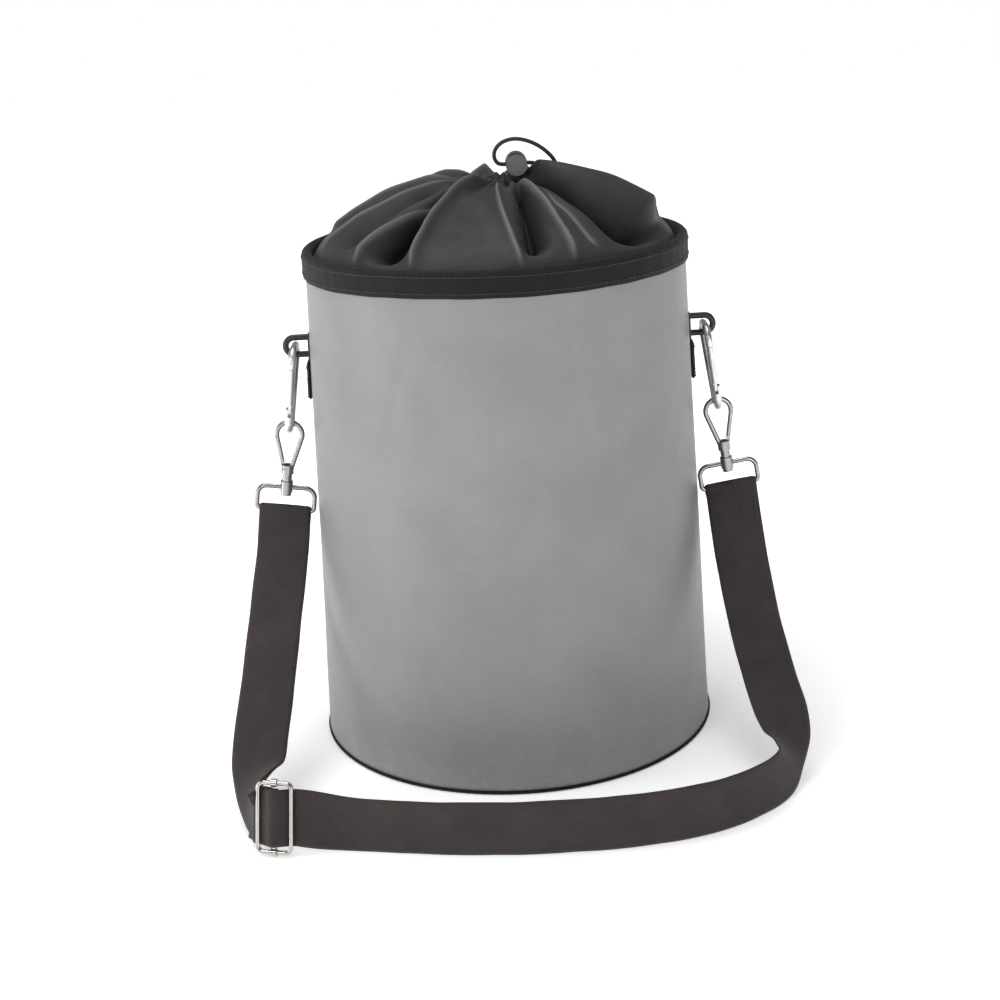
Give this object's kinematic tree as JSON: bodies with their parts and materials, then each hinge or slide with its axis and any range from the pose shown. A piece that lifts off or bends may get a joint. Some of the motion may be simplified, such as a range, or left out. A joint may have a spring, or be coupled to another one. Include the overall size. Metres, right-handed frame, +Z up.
{
  "type": "rope storage bag",
  "caption": "Upright round rope bag with a gathered drawcord collar, side loops, and a webbing carry strap hung on carabiners and swivel snap hooks.",
  "frame": {"origin": "centre of the base, on the surface that the bag stands on", "axes": "+Z up the bag; +X through the right side loop; the strap lies towards -Y"},
  "size_m": [0.4003, 0.3785, 0.4362],
  "materials": {
    "wall_fabric": "satin coated fabric",
    "base_fabric": "matte coated fabric",
    "stiffener": "matte sheet",
    "black_trim": "matte woven tape",
    "collar_nylon": "soft sheen nylon",
    "drawcord": "braided cord",
    "lock_plastic": "moulded",
    "button_plastic": "moulded",
    "spring_wire": "drawn wire",
    "loop_rubber": "satin",
    "plated_steel": "nickel plated",
    "gate_steel": "nickel plated",
    "pin_steel": "riveted",
    "wire_steel": "nickel plated wire",
    "strap_webbing": "matte woven webbing"
  },
  "bodies": {
    "root": {"wall_panel": "wall_fabric", "base_panel": "base_fabric", "base_board": "stiffener", "base_piping": "black_trim", "rim_hoop": "stiffener", "rim_binding": "black_trim", "collar": "collar_nylon", "collar_hem": "collar_nylon", "drawcord": "drawcord", "side_tab_left": "black_trim", "side_tab_right": "black_trim", "side_loop_left": "loop_rubber", "side_loop_right": "loop_rubber"},
    "lock": {"lock_body": "lock_plastic", "lock_spring": "spring_wire"},
    "button": {"lock_button": "button_plastic"},
    "strap": {"strap_webbing": "strap_webbing", "strap_ring_left": "plated_steel", "strap_ring_right": "plated_steel", "adjuster_frame": "wire_steel", "adjuster_bar": "wire_steel"},
    "carabiner_left": {"carabiner_frame_left": "plated_steel", "carabiner_pin_left": "pin_steel"},
    "carabiner_gate_left": {"carabiner_gate_left": "gate_steel"},
    "hook_left": {"hook_body_left": "plated_steel", "hook_pin_left": "pin_steel"},
    "hook_gate_left": {"hook_gate_left": "gate_steel"},
    "carabiner_right": {"carabiner_frame_right": "plated_steel", "carabiner_pin_right": "pin_steel"},
    "carabiner_gate_right": {"carabiner_gate_right": "gate_steel"},
    "hook_right": {"hook_body_right": "plated_steel", "hook_pin_right": "pin_steel"},
    "hook_gate_right": {"hook_gate_right": "gate_steel"}
  },
  "joints": [
    {"name": "strap_lift", "type": "hinge", "parent": "root", "child": "strap", "pos_m": [0, 0, 0.23758], "axis": [-1, 0, 0], "range_deg": [0, 90]},
    {"name": "lock_slide", "type": "slide", "parent": "root", "child": "lock", "axis": [-1, 0, 0], "range_m": [0, 0.003]},
    {"name": "lock_button", "type": "slide", "parent": "lock", "child": "button", "axis": [0, 1, 0], "range_m": [0, 0.0035], "stiffness_N_per_m": 400, "springref_m": -0.002, "deforming": ["lock_spring"]},
    {"name": "carabiner_twist_left", "type": "hinge", "parent": "root", "child": "carabiner_left", "pos_m": [-0.1485, 0, 0.2933], "axis": [0.1426, 0, 0.9898], "range_deg": [-6, 6]},
    {"name": "carabiner_gate_left", "type": "hinge", "parent": "carabiner_left", "child": "carabiner_gate_left", "pos_m": [-0.15504, -0.01042, 0.24795], "axis": [-0.9898, 0, 0.1426], "range_deg": [0, 20], "stiffness_Nm_per_rad": 0.05, "springref_deg": -17.19},
    {"name": "hook_swivel_left", "type": "hinge", "parent": "strap", "child": "hook_left", "pos_m": [-0.15653, 0, 0.23758], "axis": [0.1426, 0, 0.9898], "range_deg": [-6, 6]},
    {"name": "hook_gate_left", "type": "hinge", "parent": "hook_left", "child": "hook_gate_left", "pos_m": [-0.16421, 0, 0.20322], "axis": [0, 1, 0], "range_deg": [0, 14], "stiffness_Nm_per_rad": 0.02, "springref_deg": -17.19},
    {"name": "carabiner_twist_right", "type": "hinge", "parent": "root", "child": "carabiner_right", "pos_m": [0.1485, 0, 0.2933], "axis": [-0.1426, 0, 0.9898], "range_deg": [-6, 6]},
    {"name": "carabiner_gate_right", "type": "hinge", "parent": "carabiner_right", "child": "carabiner_gate_right", "pos_m": [0.15504, -0.01042, 0.24795], "axis": [-0.9898, 0, -0.1426], "range_deg": [0, 20], "stiffness_Nm_per_rad": 0.05, "springref_deg": -17.19},
    {"name": "hook_swivel_right", "type": "hinge", "parent": "strap", "child": "hook_right", "pos_m": [0.15653, 0, 0.23758], "axis": [-0.1426, 0, 0.9898], "range_deg": [-6, 6]},
    {"name": "hook_gate_right", "type": "hinge", "parent": "hook_right", "child": "hook_gate_right", "pos_m": [0.16421, 0, 0.20322], "axis": [0, -1, 0], "range_deg": [0, 14], "stiffness_Nm_per_rad": 0.02, "springref_deg": -17.19}
  ]
}
